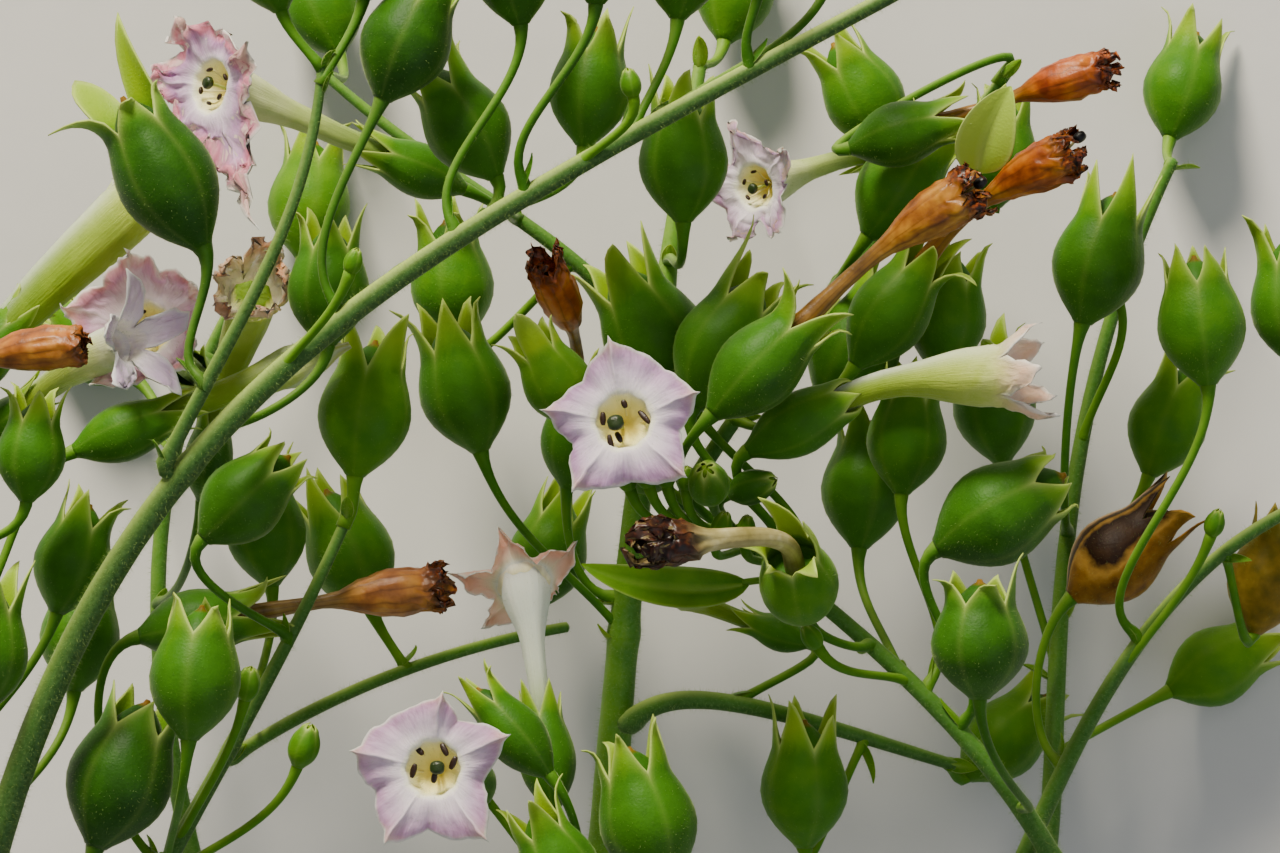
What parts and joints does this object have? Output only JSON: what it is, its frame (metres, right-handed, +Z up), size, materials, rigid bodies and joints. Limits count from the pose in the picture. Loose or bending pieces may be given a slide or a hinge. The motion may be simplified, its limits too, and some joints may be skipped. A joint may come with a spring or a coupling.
{
  "type": "cut tobacco panicle",
  "caption": "Cut flowering top of a tobacco plant lying down: branching stems with ribbed green seed capsules, pale pink trumpet flowers, buds and dry brown corollas.",
  "frame": {"origin": "centre of the part's box in X and Y, on the surface that it lies on", "axes": "+X across the panicle, to the right seen from above; +Y up the panicle, away from the cut end of the main stalk; +Z up from the surface"},
  "size_m": [0.2362, 0.2222, 0.11],
  "materials": {
    "stem": "matte, finely hairy green stem",
    "capsule": "matte, hairy ribbed green calyx round a smooth capsule",
    "petal": "soft pale pink petal, greenish cream tube",
    "withered": "dry, wrinkled orange-brown corolla in a green calyx",
    "bud": "soft pale green bud"
  },
  "bodies": {
    "root": {"stalk": "stem", "left_bough": "stem", "front_bough": "stem", "front_twig": "stem", "left_outer": "stem", "left_inner": "stem", "left_back": "stem", "back_bough": "stem", "right_bough": "stem", "centre_bough": "stem", "right_outer": "stem", "right_middle": "stem", "cross_bough": "stem", "low_bough": "stem", "top_left": "stem", "top_right": "stem", "flower_facing": "petal", "withered_long": "withered", "flower_side_view": "petal", "capsule_centre": "capsule", "capsule_long_teeth": "capsule", "withered_bent": "withered", "capsule_under_flower": "capsule", "capsule_leaning_right": "capsule", "capsule_notched": "capsule", "flower_low_facing": "petal", "flower_from_behind": "petal", "capsule_low_left": "capsule", "capsule_low_front": "capsule", "capsule_low_right": "capsule", "capsule_front_left": "capsule", "capsule_above_fork": "capsule", "capsule_behind_fork": "capsule", "capsule_leaning_left": "capsule", "capsule_top_first": "capsule", "capsule_top_second": "capsule", "capsule_top_fourth": "capsule", "capsule_behind_bough": "capsule", "flower_pink_high": "petal", "flower_left_tube": "petal", "flower_pink_left": "petal", "flower_lilac_left": "petal", "withered_left": "withered", "flower_wilted_cream": "petal", "bud_long": "bud", "capsule_left_low": "capsule", "capsule_under_bough": "capsule", "capsule_middle_left": "capsule", "withered_back": "withered", "capsule_corner": "capsule", "withered_orange": "withered", "capsule_beside_flower": "capsule", "withered_upper": "withered", "capsule_high": "capsule", "capsule_high_left": "capsule", "withered_high": "withered", "flower_far": "petal", "capsule_tall_right": "capsule", "capsule_hanging_right": "capsule", "capsule_dry": "capsule"}
  },
  "joints": []
}
